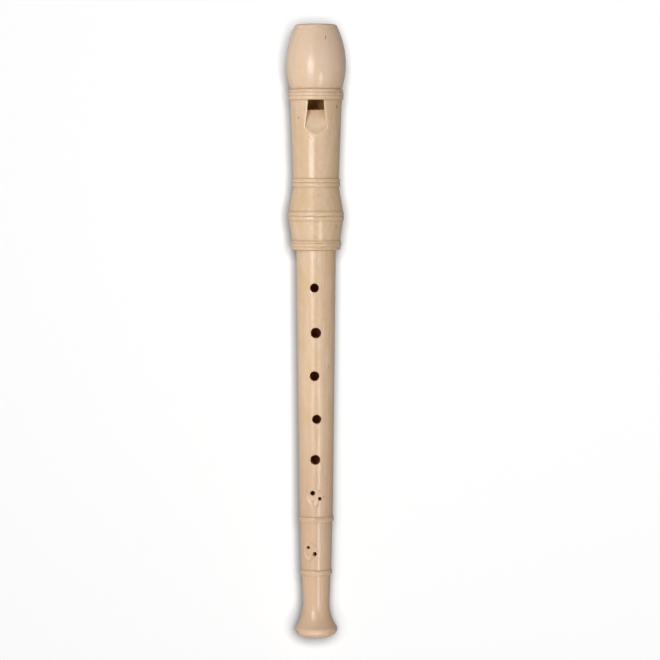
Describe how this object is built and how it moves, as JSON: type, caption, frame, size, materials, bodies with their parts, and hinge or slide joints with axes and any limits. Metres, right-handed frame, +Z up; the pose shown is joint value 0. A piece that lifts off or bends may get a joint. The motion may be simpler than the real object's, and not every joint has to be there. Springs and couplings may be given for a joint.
{
  "type": "soprano recorder",
  "caption": "Turned wooden soprano recorder lying on its back: head joint with beak, windway and window pulls off and twists on the body joint's corked tenon.",
  "frame": {"origin": "middle of the instrument's footprint, on the surface that it lies on", "axes": "+Z up through the window and finger holes, +Y from the bell towards the beak, +X to the right seen from above with the beak away"},
  "size_m": [0.0318, 0.3252, 0.0319],
  "materials": {
    "turned_wood": "satin",
    "block_wood": "matte",
    "cork": "matte"
  },
  "bodies": {
    "body": {"body_joint": "turned_wood"},
    "cork": {"tenon_cork": "cork"},
    "head": {"head_joint": "turned_wood"},
    "block": {"windway_block": "block_wood"}
  },
  "joints": [
    {"name": "head_twist", "type": "hinge", "parent": "body", "child": "cork", "pos_m": [0, 0.0546, 0.01472], "axis": [0, 0.9999, 0.0159], "continuous": true},
    {"name": "head_pull", "type": "slide", "parent": "cork", "child": "head", "axis": [0, 0.9999, 0.0159], "range_m": [0, 0.03]},
    {"name": "block_push", "type": "slide", "parent": "head", "child": "block", "axis": [0, 0.9999, 0.0159], "range_m": [0, 0.045]}
  ]
}
